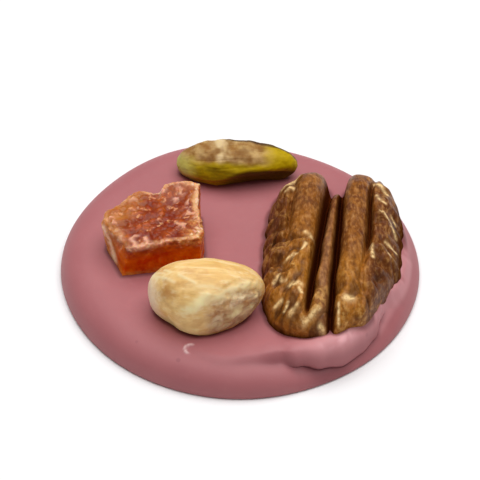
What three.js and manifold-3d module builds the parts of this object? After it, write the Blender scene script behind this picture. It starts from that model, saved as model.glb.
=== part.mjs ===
// Ruby chocolate mendiant: a poured disc of ruby chocolate with a pecan half, a blanched hazelnut,
// a pistachio kernel and a cube of candied fruit pressed into it.
// Millimetres, +Z up. The origin is the centre of the disc's flat underside. The pecan half lies
// at +X, the hazelnut near the -Y edge and the pistachio near the +Y edge.

import * as THREE from "three";
import { mergeVertices } from "three/addons/utils/BufferGeometryUtils.js";
import Module from "manifold-3d";

const wasm = await Module();
wasm.setup();

// Driving sizes
const DISC_DIAMETER = 45.6;
const DISC_THICKNESS = 3.7;
const PECAN_LENGTH = 28.6;
const PECAN_WIDTH = 18.2;
const PECAN_HEIGHT = 7.9;
const HAZELNUT_LENGTH = 14.4;
const HAZELNUT_WIDTH = 9.6;
const HAZELNUT_HEIGHT = 9.1;
const PISTACHIO_LENGTH = 15.9;
const PISTACHIO_WIDTH = 6.6;
const PISTACHIO_HEIGHT = 6.3;
const CUBE_HEIGHT = 6.4;

// How deep each topping is pressed into the chocolate, and the gap left round it.
const PECAN_SINK = 1.7;
const HAZELNUT_SINK = 1.5;
const PISTACHIO_SINK = 1.4;
const CUBE_SINK = 1.2;
const POCKET_GAP = 0.3;

// Where each topping stands on the disc, how it is turned about the vertical and how far its
// pointed end is raised, in degrees.
const PECAN_PLACE = { x: 11.8, y: -2.5, turn: -3.5, raise: 0 };
const HAZELNUT_PLACE = { x: -4.4, y: -11.0, turn: 5, raise: 5 };
const PISTACHIO_PLACE = { x: -0.4, y: 14.6, turn: -4, raise: 3 };
const CUBE_PLACE = { x: -10.6, y: 1.0, turn: 0, raise: 0 };

// Where the rim of the pour swells out or falls in: the angle in degrees, how far, and how broadly.
const RIM_SWELLS = [
  [-128, 0.1, 20],
  [-90, 0.35, 26],
  [-40, 0.28, 22],
  [0, 0.25, 24],
  [64, -0.6, 30],
  [112, 0.5, 22],
  [172, 0.35, 24],
];

// The rounded shoulder of the poured disc: how wide it is, and how squarely it turns down.
const SHOULDER_WIDTH = 4.2;
const SHOULDER_POWER = 2.2;

// The upper pour and the ring below it, going round the disc. Each row holds the angle in degrees,
// how far inside the rim the upper pour ends, the share by which the ring outside it is thinner,
// and how high the roll that the pecan pushed up stands along that edge.
const POUR_EDGE = [
  [-150, 4.5, 0.0, 0.0],
  [-112, 4.1, 0.02, 0],
  [-97, 3.2, 0.04, 0.05],
  [-86, 3.5, 0.09, 0.2],
  [-76, 3.3, 0.18, 0.5],
  [-70, 2.1, 0.32, 0.85],
  [-62, 0.95, 0.44, 1.2],
  [-55, 0.45, 0.52, 1.4],
  [-47, 0.6, 0.54, 1.35],
  [-40, 1.0, 0.46, 1.25],
  [-34, 1.8, 0.34, 1.0],
  [-29, 2.4, 0.2, 0.6],
  [-25, 1.8, 0.12, 0.3],
  [-21, 1.0, 0.12, 0.25],
  [-10, 1.0, 0.12, 0.3],
  [10, 1.1, 0.1, 0.25],
  [34, 1.5, 0.0, 0.0],
  [70, 4.5, 0.0, 0.0],
];
const POUR_EDGE_EASE = 0.7;
const ROLL_INSET = 1.5;
const ROLL_WIDTH = 1.9;

// Where the roll is high, the upper pour ends in a rounded lip that hangs over the ring: how far
// in the lip reaches, how squarely it turns, how much of the full thickness it keeps, the angle at
// which it starts below, and the roll heights at which the soft step has begun and has become a lip.
const LIP_ROUND = 1.1;
const LIP_POWER = 3;
const LIP_FULLNESS = 0.8;
const LIP_UNDERCUT = THREE.MathUtils.degToRad(-50);
const LIP_FROM = 0.45;
const LIP_FULL = 1.05;

// How fine the faceted surfaces are.
const DISC_SIDES = 108;
const RING_ROWS = 6;
const EDGE_ROWS = 6;
const POUR_ROWS = 13;
const DISC_ROWS = RING_ROWS + EDGE_ROWS + POUR_ROWS;
const RIM_CROWDING = 1.6;
const PECAN_TOP_SIDES = 44;
const PECAN_UNDER_SIDES = 8;
const PECAN_CROWDING = 0.6;
const PECAN_STATIONS = 30;
const KERNEL_SIDES = 24;
const KERNEL_STATIONS = 18;
const CUBE_STEPS = 10;
const MERGE_DISTANCE = 1e-4;

const smoothstep = THREE.MathUtils.smoothstep;
const lerp = THREE.MathUtils.lerp;

// A quarter superellipse: 1 at the middle, falling to 0 where the share reaches 1.
function domed(share, power) {
  return Math.max(0, 1 - Math.abs(share) ** power) ** (1 / power);
}

function bell(distance, width) {
  return Math.exp(-((distance / width) ** 2));
}

// The row of values at an angle, eased between the stops on either side of it.
function eased(stops, angle) {
  const last = stops.length - 1;
  if (angle <= stops[0][0] || angle >= stops[last][0]) {
    return stops[0].slice(1);
  }
  const next = stops.findIndex((stop) => stop[0] > angle);
  const [from, to] = [stops[next - 1], stops[next]];
  const share = smoothstep(angle, from[0], to[0]);
  return from.slice(1).map((value, i) => lerp(value, to[i + 1], share));
}

// The geometry as a manifold solid, with every vertex moved by the place function.
function solidOf(geometry, place) {
  const bare = geometry.clone();
  bare.deleteAttribute("normal");
  bare.deleteAttribute("uv");
  const position = bare.getAttribute("position");
  const point = new THREE.Vector3();
  for (let i = 0; i < position.count; i += 1) {
    place(point.fromBufferAttribute(position, i));
    position.setXYZ(i, point.x, point.y, point.z);
  }
  const merged = mergeVertices(bare, MERGE_DISTANCE);
  const corners = merged.index.array;
  const faces = [];
  for (let i = 0; i < corners.length; i += 3) {
    const [a, b, c] = corners.slice(i, i + 3);
    if (a !== b && b !== c && c !== a) {
      faces.push(a, b, c);
    }
  }
  return new wasm.Manifold(
    new wasm.Mesh({
      numProp: 3,
      vertProperties: merged.getAttribute("position").array,
      triVerts: new Uint32Array(faces),
    }),
  );
}

// A named mesh of a manifold solid.
function meshOf(name, solid, material) {
  const { vertProperties, triVerts } = solid.getMesh();
  const geometry = new THREE.BufferGeometry();
  geometry.setAttribute("position", new THREE.BufferAttribute(vertProperties, 3));
  geometry.setIndex(new THREE.BufferAttribute(triVerts, 1));
  geometry.computeVertexNormals();
  const mesh = new THREE.Mesh(geometry, material);
  mesh.name = name;
  return mesh;
}

// The disc of ruby chocolate

// The rim's distance from the centre.
function rimRadius(angle) {
  let radius = DISC_DIAMETER / 2;
  for (const [at, amount, width] of RIM_SWELLS) {
    const apart = THREE.MathUtils.euclideanModulo(THREE.MathUtils.radToDeg(angle) - at + 180, 360) - 180;
    radius += amount * bell(apart, width);
  }
  return radius;
}

// The share of the full thickness that the shoulder has at a distance inside the rim.
function shoulder(inside) {
  return domed(1 - Math.min(1, inside / SHOULDER_WIDTH), SHOULDER_POWER);
}

function upperHeight(inside, inset, roll, sharp) {
  const full = lerp(shoulder(inside), 1, LIP_FULLNESS * sharp);
  return DISC_THICKNESS * full + roll * bell(inside - inset - ROLL_INSET, ROLL_WIDTH);
}

// How far inside the rim and how high one row of the surface lies. The rows go over the ring, up
// the edge of the upper pour and over it to the middle.
function chocolateRow(row, [inset, thinner, roll], rim) {
  const sharp = smoothstep(roll, LIP_FROM, LIP_FULL);
  const lower = DISC_THICKNESS * (1 - thinner);
  const lowest = -(Math.abs(Math.sin(LIP_UNDERCUT)) ** (2 / LIP_POWER));
  const start = lerp(
    inset - POUR_EDGE_EASE,
    inset + LIP_ROUND * (1 - Math.cos(LIP_UNDERCUT) ** (2 / LIP_POWER)),
    sharp,
  );
  if (row < RING_ROWS) {
    const inside = start * (row / RING_ROWS) ** RIM_CROWDING;
    return [inside, lower * shoulder(inside)];
  }
  if (row < RING_ROWS + EDGE_ROWS) {
    const share = (row - RING_ROWS) / EDGE_ROWS;
    const turn = lerp(LIP_UNDERCUT, Math.PI / 2, share);
    const out = Math.cos(turn) ** (2 / LIP_POWER);
    const up = Math.sign(turn) * Math.abs(Math.sin(turn)) ** (2 / LIP_POWER);
    const soft = inset + POUR_EDGE_EASE * (2 * share - 1);
    const inside = lerp(soft, inset + LIP_ROUND * (1 - out), sharp);
    const risen = lerp(smoothstep(share, 0, 1), (up - lowest) / (1 - lowest), sharp);
    return [inside, lerp(lower * shoulder(inside), upperHeight(inside, inset, roll, sharp), risen)];
  }
  const top = inset + lerp(POUR_EDGE_EASE, LIP_ROUND, sharp);
  const inside = lerp(top, rim, (row - RING_ROWS - EDGE_ROWS) / POUR_ROWS);
  return [inside, upperHeight(inside, inset, roll, sharp)];
}

function chocolateSolid() {
  const outline = [new THREE.Vector2(0, 0)];
  for (let row = 0; row <= DISC_ROWS; row += 1) {
    outline.push(new THREE.Vector2(1 - row / DISC_ROWS, row > 0 ? 1 : 0));
  }
  const lathe = new THREE.LatheGeometry(outline, DISC_SIDES);
  return solidOf(lathe, (p) => {
    const row = Math.round(DISC_ROWS * (1 - Math.min(1, Math.hypot(p.x, p.z))));
    const isUnderMiddle = p.y < 0.5 && row === DISC_ROWS;
    const angle = Math.atan2(-p.z, p.x);
    const rim = rimRadius(angle);
    const [inside, height] = chocolateRow(row, eased(POUR_EDGE, THREE.MathUtils.radToDeg(angle)), rim);
    const reach = rim - inside;
    p.set(reach * Math.cos(angle), reach * Math.sin(angle), isUnderMiddle ? 0 : height);
  });
}

// The pecan half, with its flat face at the bottom, its stem end at -Y and its tip at +Y

// The grooves between its ridges, each a narrow cleft with sloping sides: where each one runs
// across the nut at the stem end and at the tip, how deep it is and how wide, where along the nut
// it starts and is at its full depth, and the share of it that is left at the tip.
const PECAN_GROOVES = [
  { stem: -2.9, tip: -0.7, depth: 3.7, width: 0.43, start: -14.2, full: -9, left: 1 },
  { stem: 0.1, tip: 0.9, depth: 3.7, width: 0.4, start: -16, full: -15, left: 1 },
  { stem: -6.3, tip: -5.4, depth: 1.3, width: 0.42, start: -3, full: 4, left: 0.5 },
  { stem: 3.6, tip: 4.95, depth: 2.2, width: 0.36, start: -5, full: 1, left: 0.3 },
];
const GROOVE_CLEFT = 0.8;
const GROOVE_SLOPES = 0.25;
const GROOVE_SLOPES_WIDTH = 2.6;
const GROOVE_BEFORE_START = 0.25;
const GROOVE_FADES_FROM = 0.55;
const GROOVE_FADED_AT = 0.95;
const PECAN_VALLEY = { at: -0.7, depth: 1.2, width: 1.7 };
// The notch between the ridges at the tip, and the slant of the stem end, which is shorter at +X.
const PECAN_NOTCH = { at: 0.1, depth: 3.1, width: 1.15 };
const PECAN_SLANT = { from: 0.8, slope: 0.62 };
// How squarely the nut's outline turns, and how much rounder it is at +X towards the stem end.
const PECAN_PLAN_POWER = 3.5;
const PECAN_STEM_RIGHT_POWER = 2.1;
const PECAN_CROWN_POWER = 2.2;
const PECAN_END_POWER = 3.4;
const PECAN_RIM_LEVEL = 1.3;
const PECAN_FLAT = 0.75;
const PECAN_DRAW_POWER = 3;
const PECAN_LUMPS = [
  { amount: 0.28, along: 1.9, across: 0.9, phase: 0 },
  { amount: 0.17, along: 3.1, across: -1.3, phase: 1.1 },
];
const PECAN_LUMPS_START = 3.5;
const PECAN_LUMPS_FULL = 7;

// How far across the nut a share from -1 to 1 lies, where the nut has narrowed to a share of its
// width: the ridges in the middle stay where they are, and the lobes at the sides draw in.
function pecanAcross(share, narrowed) {
  const kept = narrowed ** PECAN_DRAW_POWER;
  const spread = (kept + (1 - kept) * Math.abs(share) ** PECAN_DRAW_POWER) ** (1 / PECAN_DRAW_POWER);
  return narrowed > 0 ? (share * narrowed) / spread : 0;
}

// The lumps of the side lobes, which die out towards the middle of the nut.
function pecanLumps(x, y) {
  let lumps = 0;
  for (const { amount, along, across, phase } of PECAN_LUMPS) {
    lumps += amount * Math.sin(along * y + across * x + phase);
  }
  return lumps * smoothstep(Math.abs(x), PECAN_LUMPS_START, PECAN_LUMPS_FULL);
}

// The height of the upper face. The pocket that the nut lies in has no grooves.
function pecanTop(x, y, share, along, grooves) {
  let height = PECAN_HEIGHT * domed(share, PECAN_CROWN_POWER);
  height -= PECAN_VALLEY.depth * bell(x - PECAN_VALLEY.at, PECAN_VALLEY.width);
  for (const { stem, tip, depth, width, start, full, left } of grooves) {
    const across = x - lerp(stem, tip, (1 + along) / 2);
    const cleft = GROOVE_CLEFT * bell(across, width);
    const slopes = GROOVE_SLOPES * bell(across, GROOVE_SLOPES_WIDTH * width);
    const begun = lerp(GROOVE_BEFORE_START, 1, smoothstep(y, start, full));
    const faded = lerp(1, left, smoothstep(along, GROOVE_FADES_FROM, GROOVE_FADED_AT));
    height -= depth * (cleft + slopes) * begun * faded;
  }
  const end = domed(along, PECAN_END_POWER);
  return lerp(PECAN_RIM_LEVEL, Math.max(height + pecanLumps(x, y), PECAN_RIM_LEVEL), end);
}

function pecanSolid(grow) {
  const grooves = grow > 0 ? [] : PECAN_GROOVES;
  const sides = PECAN_TOP_SIDES + PECAN_UNDER_SIDES;
  const sphere = new THREE.SphereGeometry(1, sides, PECAN_STATIONS);
  const topShare = PECAN_TOP_SIDES / sides;
  return solidOf(sphere, (p) => {
    const along = p.y;
    const round = (Math.atan2(-p.z, p.x) / Math.PI + 1) / 2;
    const isTop = round < topShare;
    const even = isTop ? (2 * round) / topShare - 1 : 1 - (2 * (round - topShare)) / (1 - topShare);
    const share = even * lerp(even * even, 1, PECAN_CROWDING);
    const power = share > 0 && along < 0 ? PECAN_STEM_RIGHT_POWER : PECAN_PLAN_POWER;
    const across = pecanAcross(share, domed(along, power));
    const x = across * (PECAN_WIDTH / 2 + grow);
    const notch = PECAN_NOTCH.depth * bell(x - PECAN_NOTCH.at, PECAN_NOTCH.width);
    const slant = PECAN_SLANT.slope * Math.max(x - PECAN_SLANT.from, 0);
    const trimmed = along > 0 ? notch : slant;
    const y = along * (PECAN_LENGTH / 2 - trimmed + grow);
    const inner = 1 - smoothstep(Math.max(Math.abs(share), Math.abs(along)), PECAN_FLAT, 1);
    const under = PECAN_RIM_LEVEL * (1 - inner) - grow * inner;
    p.set(x, y, isTop ? pecanTop(x, y, share, along, grooves) + grow * inner : under);
  });
}

// How softly the near side of a kernel leans
const KERNEL_LEAN_EASE = 1.2;

// Where a kernel is hollowed under its near side, more so towards its raised end.
const HOLLOW = {
  levelAt: -3.3,
  raisedAt: 1.5,
  levelFrom: -0.2,
  raisedFrom: -1.5,
  full: 0.8,
  nearFrom: 0.5,
  nearFull: 2.8,
  levelShare: 0.4,
};

// A kernel that tapers to a tip at +X, lying on its side: the hazelnut and the pistachio. Each
// wave says how often it goes round the kernel, its amount, its phase and its twist along it. Its
// near side leans towards the tip, and a flat takes off a share of what stands proud of it.
function kernelSolid(size, grow) {
  const sphere = new THREE.SphereGeometry(1, KERNEL_SIDES, KERNEL_STATIONS);
  const facing = new THREE.Vector3(...size.flat.facing).normalize();
  return solidOf(sphere, (p) => {
    const along = p.y;
    const girth = Math.hypot(p.x, p.z);
    const around = Math.atan2(p.z, p.x);
    let swell = 1 - size.taper * along;
    for (const [turns, amount, phase, twist] of size.waves) {
      swell += amount * Math.cos(turns * around + phase + twist * along);
    }
    const blunt = girth > 0 ? girth ** size.blunt / girth : 0;
    const x = along * (size.length / 2 + grow);
    const y = -p.x * blunt * ((size.width / 2) * swell + grow) - size.bow * (1 - along * along);
    const z = p.z * blunt * ((size.height / 2) * swell + grow);
    p.set(x + (size.lean * (Math.hypot(y, KERNEL_LEAN_EASE) - y)) / 2, y, z);
    const proud = Math.max(0, p.dot(facing) - size.flat.reach - grow);
    p.addScaledVector(facing, -size.flat.share * proud);
    const raised = smoothstep(p.x, HOLLOW.levelAt, HOLLOW.raisedAt);
    const low = smoothstep(-p.z, lerp(HOLLOW.levelFrom, HOLLOW.raisedFrom, raised), HOLLOW.full);
    const near = smoothstep(-p.y, HOLLOW.nearFrom, HOLLOW.nearFull);
    p.y += size.hollow * low * near * lerp(HOLLOW.levelShare, 1, raised);
  });
}

const HAZELNUT = {
  length: HAZELNUT_LENGTH,
  width: HAZELNUT_WIDTH,
  height: HAZELNUT_HEIGHT,
  taper: 0.2,
  blunt: 0.88,
  bow: 0.6,
  lean: 0.33,
  flat: { facing: [0.47, -0.87, 0.03], reach: 3.75, share: 0.45 },
  hollow: 0,
  waves: [
    [2, 0.035, 0.4, 0.8],
    [3, 0.03, 1.9, 1.1],
    [5, 0.015, 0.7, -1.6],
  ],
};

const PISTACHIO = {
  length: PISTACHIO_LENGTH,
  width: PISTACHIO_WIDTH,
  height: PISTACHIO_HEIGHT,
  taper: 0.08,
  blunt: 1.0,
  bow: 0.3,
  lean: 0,
  flat: { facing: [0.05, 0.1, 1], reach: 2.5, share: 0.75 },
  hollow: 1.5,
  waves: [
    [2, 0.04, 2.2, 0.5],
    [3, 0.035, 0.3, 0.9],
  ],
};

// The candied fruit: a hand-cut cube with uneven corners. The rows go round it clockwise from its
// far left corner: across, along and up at the top, then across and along at the foot.
const CUBE_CORNERS = [
  [-5.0, 2.5, 6.4, -4.9, 2.4],
  [-3.8, 4.0, 6.5, -3.8, 3.6],
  [-2.5, 5.1, 6.5, -2.4, 4.7],
  [-0.7, 4.6, 6.4, -0.7, 4.6],
  [0.3, 4.7, 6.5, 0.3, 4.6],
  [0.9, 5.3, 7.6, 0.9, 4.8],
  [3.2, 5.7, 7.8, 3.2, 5.2],
  [5.5, 5.3, 7.6, 5.4, 4.9],
  [5.3, 3.0, 7.0, 5.6, 2.8],
  [5.6, 0.0, 6.5, 5.8, 0.0],
  [6.1, -2.7, 6.6, 5.9, -3.0],
  [5.6, -4.3, 6.7, 5.5, -4.8],
  [1.4, -4.6, 6.2, 1.4, -5.0],
  [-1.1, -5.0, 5.7, -0.9, -5.5],
  [-3.3, -5.4, 5.3, -4.7, -6.1],
  [-5.2, -3.1, 5.8, -5.4, -3.8],
  [-7.2, -0.2, 6.3, -6.2, -1.6],
  [-6.7, 1.2, 6.4, -6.1, 0.8],
];
const CUBE_RIM_POWER = 3;
const CUBE_ROUNDNESS = 9;
const CUBE_DIMPLE = 0.4;

// How far round the cube each corner is, as a share of the way round its top.
function cubeShares() {
  const gone = [0];
  CUBE_CORNERS.forEach(([x, y], i) => {
    const [nextX, nextY] = CUBE_CORNERS[(i + 1) % CUBE_CORNERS.length];
    gone.push(gone[i] + Math.hypot(nextX - x, nextY - y));
  });
  return gone.map((distance) => distance / gone[gone.length - 1]);
}

// How far round a square a place on its edge is, as a share, clockwise from its far left corner.
function roundSquare(x, y) {
  if (x >= Math.abs(y)) {
    return (3 - y) / 8;
  }
  if (-y >= Math.abs(x)) {
    return (5 - x) / 8;
  }
  if (-x >= Math.abs(y)) {
    return ((7 + y) / 8) % 1;
  }
  return (1 + x) / 8;
}

function cubeSolid(grow) {
  const shares = cubeShares();
  const box = new THREE.BoxGeometry(2, 2, 2, CUBE_STEPS, CUBE_STEPS, CUBE_STEPS);
  return solidOf(box, (p) => {
    const across = Math.max(Math.abs(p.x), Math.abs(p.y));
    const norm = (across ** CUBE_ROUNDNESS + Math.abs(p.z) ** CUBE_ROUNDNESS) ** (1 / CUBE_ROUNDNESS);
    const out = across / norm;
    const up = (p.z / norm + 1) / 2;
    const round = across > 0 ? roundSquare(p.x / across, p.y / across) : 0;
    const next = Math.max(1, shares.findIndex((share) => share >= round));
    const past = (round - shares[next - 1]) / (shares[next] - shares[next - 1]);
    const [before, after] = [CUBE_CORNERS[next - 1], CUBE_CORNERS[next % CUBE_CORNERS.length]];
    const [topX, topY, topZ, footX, footY] = before.map((value, i) => lerp(value, after[i], past));
    const rise = lerp(CUBE_HEIGHT - CUBE_DIMPLE, topZ, out ** CUBE_RIM_POWER);
    p.set(
      lerp(footX, topX, up) * out + (p.x / norm) * grow,
      lerp(footY, topY, up) * out + (p.y / norm) * grow,
      rise * up + (p.z / norm) * grow,
    );
  });
}

// The topping pressed into the disc, with its underside at its own depth.
function pressed(solid, sink, place) {
  return solid.rotate([0, -place.raise, place.turn]).translate([place.x, place.y, DISC_THICKNESS - sink]);
}

function kernelOnDisc(size, sink, place, grow) {
  return pressed(kernelSolid(size, grow), sink - size.height / 2, place);
}

const TOPPINGS = {
  pecan_half: {
    solid: (grow) => pressed(pecanSolid(grow), PECAN_SINK, PECAN_PLACE),
    color: 0x96602f,
    roughness: 0.55,
  },
  hazelnut: {
    solid: (grow) => kernelOnDisc(HAZELNUT, HAZELNUT_SINK, HAZELNUT_PLACE, grow),
    color: 0xe6c88e,
    roughness: 0.5,
  },
  pistachio: {
    solid: (grow) => kernelOnDisc(PISTACHIO, PISTACHIO_SINK, PISTACHIO_PLACE, grow),
    color: 0x9c9430,
    roughness: 0.5,
  },
  candied_fruit_cube: {
    solid: (grow) => pressed(cubeSolid(grow), CUBE_SINK, CUBE_PLACE),
    color: 0xb5501e,
    roughness: 0.25,
  },
};

function mendiant() {
  const group = new THREE.Group();
  let chocolate = chocolateSolid();
  for (const [name, { solid, color, roughness }] of Object.entries(TOPPINGS)) {
    chocolate = chocolate.subtract(solid(POCKET_GAP));
    const material = new THREE.MeshStandardMaterial({ color, roughness, metalness: 0 });
    group.add(meshOf(name, solid(0), material));
  }
  const ruby = new THREE.MeshStandardMaterial({ color: 0xb87380, roughness: 0.4, metalness: 0 });
  group.add(meshOf("ruby_chocolate_disc", chocolate, ruby));
  return group;
}

export default mendiant();
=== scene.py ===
"""A ruby chocolate mendiant: the poured disc and its four toppings, each as a fine mesh of its own.

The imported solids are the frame. Every piece follows the form of the solid that it replaces, from the
same named values, which are millimetres here as they are there, and adds the relief and the finish.
"""

import itertools
import math

import bpy
import numpy as np
from mathutils import Euler, Matrix, Vector, bvhtree, noise


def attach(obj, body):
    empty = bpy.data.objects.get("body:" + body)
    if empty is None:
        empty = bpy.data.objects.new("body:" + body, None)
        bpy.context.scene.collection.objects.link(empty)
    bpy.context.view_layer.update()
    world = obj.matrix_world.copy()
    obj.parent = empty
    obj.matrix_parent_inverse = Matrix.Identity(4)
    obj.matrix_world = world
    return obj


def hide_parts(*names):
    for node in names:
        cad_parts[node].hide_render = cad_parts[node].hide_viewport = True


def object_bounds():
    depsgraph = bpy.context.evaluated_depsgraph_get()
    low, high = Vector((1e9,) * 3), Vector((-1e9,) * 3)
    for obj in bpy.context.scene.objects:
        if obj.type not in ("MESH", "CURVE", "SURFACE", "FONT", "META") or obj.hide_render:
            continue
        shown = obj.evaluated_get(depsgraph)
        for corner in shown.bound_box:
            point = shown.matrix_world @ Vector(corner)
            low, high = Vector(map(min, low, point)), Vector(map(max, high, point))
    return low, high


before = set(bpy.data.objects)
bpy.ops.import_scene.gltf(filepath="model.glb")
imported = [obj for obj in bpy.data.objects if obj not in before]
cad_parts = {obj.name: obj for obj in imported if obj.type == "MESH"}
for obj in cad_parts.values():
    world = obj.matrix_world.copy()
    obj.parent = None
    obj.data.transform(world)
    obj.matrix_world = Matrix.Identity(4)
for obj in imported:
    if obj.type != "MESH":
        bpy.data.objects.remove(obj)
cad_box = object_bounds()

MM = 0.001

# The disc of ruby chocolate
DISC_DIAMETER = 45.6
DISC_THICKNESS = 3.7
RIM_SWELLS = [
    (-128, 0.1, 20), (-90, 0.35, 26), (-40, 0.28, 22), (0, 0.25, 24), (64, -0.6, 30),
    (112, 0.5, 22), (172, 0.35, 24),
]
SHOULDER_WIDTH = 4.2
SHOULDER_POWER = 2.2
# Angle in degrees, inset of the upper pour's edge, the share by which the ring is thinner, roll height
POUR_EDGE = [
    (-150, 4.5, 0.0, 0.0),
    (-112, 4.1, 0.02, 0.0),
    (-97, 3.2, 0.04, 0.05),
    (-86, 3.5, 0.09, 0.2),
    (-76, 3.3, 0.18, 0.5),
    (-70, 2.1, 0.32, 0.85),
    (-62, 0.95, 0.44, 1.2),
    (-55, 0.45, 0.52, 1.4),
    (-47, 0.6, 0.54, 1.35),
    (-40, 1.0, 0.46, 1.25),
    (-34, 1.8, 0.34, 1.0),
    (-29, 2.4, 0.2, 0.6),
    (-25, 1.8, 0.12, 0.3),
    (-21, 1.0, 0.12, 0.25),
    (-10, 1.0, 0.12, 0.3),
    (10, 1.1, 0.1, 0.25),
    (34, 1.5, 0.0, 0.0),
    (70, 4.5, 0.0, 0.0),
]
POUR_EDGE_EASE = 0.7
ROLL_INSET = 1.5
ROLL_WIDTH = 1.9
LIP_ROUND = 1.1
LIP_POWER = 3
LIP_FULLNESS = 0.8
LIP_FROM = 0.45
LIP_FULL = 1.05
LIP_UNDERCUT = -50
CREASE_WANDER = 0.08
# How dark the painted shade of the line under the roll is, at angles round the disc
CREASE_SHADE = [
    (-110, 0), (-97, 0.25), (-86, 0.45), (-76, 0.7), (-66, 1), (-58, 0.8), (-50, 0.2),
    (-40, 0.2), (-34, 0.5), (-26, 0),
]
# The gentle waves of the top and the ruffle of the roll: height, size, and which noise
DISC_WAVES = [(0.06, 7.0, 20), (0.02, 1.8, 21)]
ROLL_RUFFLE = (0.15, 2.2, 22)
EDGE_ROUND = 0.28
# How far inside the rim, and how high, the rounded edge underneath lies
DISC_UNDER_EDGE = [(0.1, 0.08), (0.3, 0)]
DISC_SIDES = 440
# Rows of points over the ring, up the edge of the upper pour and over it
DISC_ROWS = (40, 24, 96)
DISC_UNDER_RINGS = 10
RIM_CROWDING = 1.6
# How far from a topping the chocolate starts to rise, and how high it rises to the hazelnut, the
# pistachio and the fruit
CONTACT_REACH = 1.2
CONTACT_RISES = [0.05, 0.1, 0.15]
PECAN_LAP_REACH = 1.8
PECAN_LAP_RAGGED = 0.35
# How high the chocolate laps up the pecan half, at angles round the middle of the nut
PECAN_LAP = [
    (-105, 0.1), (-93, 0.3), (-88, 0.1), (-83, 0.3), (-76, 0.1), (-67, 0.15), (-60, 0.8),
    (-54, 1.2), (-46, 1.5), (-36, 1.3), (-20, 0.8), (5, 0.7), (25, 0.2),
]

# The pecan half
PECAN_LENGTH = 28.6
PECAN_WIDTH = 18.2
PECAN_HEIGHT = 7.9
PECAN_SINK = 1.7
PECAN_PLACE = (11.8, -2.5, -3.5, 0)
# Where a groove runs across the nut at the stem end and at the tip, its depth and width, where along the
# nut it starts and is at its full depth, and the share of it that is left at the tip
PECAN_GROOVES = [
    (-2.9, -0.7, 3.7, 0.43, -14.2, -9.0, 1.0),
    (0.1, 0.9, 3.7, 0.4, -16.0, -15.0, 1.0),
    (-6.3, -5.4, 1.3, 0.42, -3.0, 4.0, 0.5),
    (3.6, 4.95, 2.2, 0.36, -5.0, 1.0, 0.3),
]
GROOVE_CLEFT = 0.8
GROOVE_SLOPES = 0.25
GROOVE_SLOPES_WIDTH = 2.6
GROOVE_BEFORE_START = 0.25
GROOVE_FADES_FROM = 0.55
GROOVE_FADED_AT = 0.95
# How far the first groove wanders, how much further each of the next, and how much their widths do
GROOVE_WANDER = (0.12, 0.08, 0.3)
# Where the valley and the notch lie across the nut, their depth and width, and where the slant of the
# stem end starts and its slope
PECAN_VALLEY = (-0.7, 1.2, 1.7)
PECAN_NOTCH = (0.1, 3.1, 1.15)
PECAN_SLANT = (0.8, 0.62)
PECAN_PLAN_POWER = 3.5
PECAN_STEM_RIGHT_POWER = 2.1
PECAN_CROWN_POWER = 2.2
PECAN_END_POWER = 3.4
PECAN_RIM_LEVEL = 1.3
PECAN_FLAT = 0.75
PECAN_DRAW_POWER = 3
# Amount, how fast it runs along and across the nut, and phase
PECAN_LUMPS = [(0.28, 1.9, 0.9, 0.0), (0.17, 3.1, -1.3, 1.1)]
PECAN_LUMPS_START = 3.5
PECAN_LUMPS_FULL = 7
# How the skin fills out the right corner of the stem end: where across the nut, how wide and how far.
# The solid has no such corner.
PECAN_CORNER = (4.6, 1.8, 1.7)
# The height of the relief on its skin
PECAN_WOBBLE = 0.28
PECAN_FIBRES = 0.05
PECAN_KNOBS = 1.3
# Steps across the top, along the nut and across its flat side
PECAN_STEPS = (330, 250, 40)

# The kernels: their size, taper, bluntness, bow, the lean of the near side, and the waves round them
HAZELNUT = dict(
    length=14.4, width=9.6, height=9.1, taper=0.2, blunt=0.88, bow=0.6, lean=0.33,
    waves=[(2, 0.035, 0.4, 0.8), (3, 0.03, 1.9, 1.1), (5, 0.015, 0.7, -1.6)],
)
HAZELNUT_SINK = 1.5
HAZELNUT_PLACE = (-4.4, -11.0, 5, 5)
PISTACHIO = dict(
    length=15.9, width=6.6, height=6.3, taper=0.08, blunt=1.0, bow=0.3, lean=0,
    waves=[(2, 0.04, 2.2, 0.5), (3, 0.035, 0.3, 0.9)],
)
PISTACHIO_SINK = 1.4
PISTACHIO_PLACE = (-0.4, 14.6, -4, 3)
KERNEL_STEPS = 74

# The cube of candied fruit
CUBE_HEIGHT = 6.4
CUBE_SINK = 1.2
CUBE_PLACE = (-10.6, 1.0, 0, 0)
# Round the cube from its far left corner: across, along and up at the top, across and along at the foot
CUBE_CORNERS = [
    (-5.0, 2.5, 6.4, -4.9, 2.4),
    (-3.8, 4.0, 6.5, -3.8, 3.6),
    (-2.5, 5.1, 6.5, -2.4, 4.7),
    (-0.7, 4.6, 6.4, -0.7, 4.6),
    (0.3, 4.7, 6.5, 0.3, 4.6),
    (0.9, 5.3, 7.6, 0.9, 4.8),
    (3.2, 5.7, 7.8, 3.2, 5.2),
    (5.5, 5.3, 7.6, 5.4, 4.9),
    (5.3, 3.0, 7.0, 5.6, 2.8),
    (5.6, 0.0, 6.5, 5.8, 0.0),
    (6.1, -2.7, 6.6, 5.9, -3.0),
    (5.6, -4.3, 6.7, 5.5, -4.8),
    (1.4, -4.6, 6.2, 1.4, -5.0),
    (-1.1, -5.0, 5.7, -0.9, -5.5),
    (-3.3, -5.4, 5.3, -4.7, -6.1),
    (-5.2, -3.1, 5.8, -5.4, -3.8),
    (-7.2, -0.2, 6.3, -6.2, -1.6),
    (-6.7, 1.2, 6.4, -6.1, 0.8),
]
CUBE_RIM_POWER = 3
CUBE_ROUNDNESS = 9
CUBE_DIMPLE = 0.4
CUBE_STEPS = 84


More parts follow.
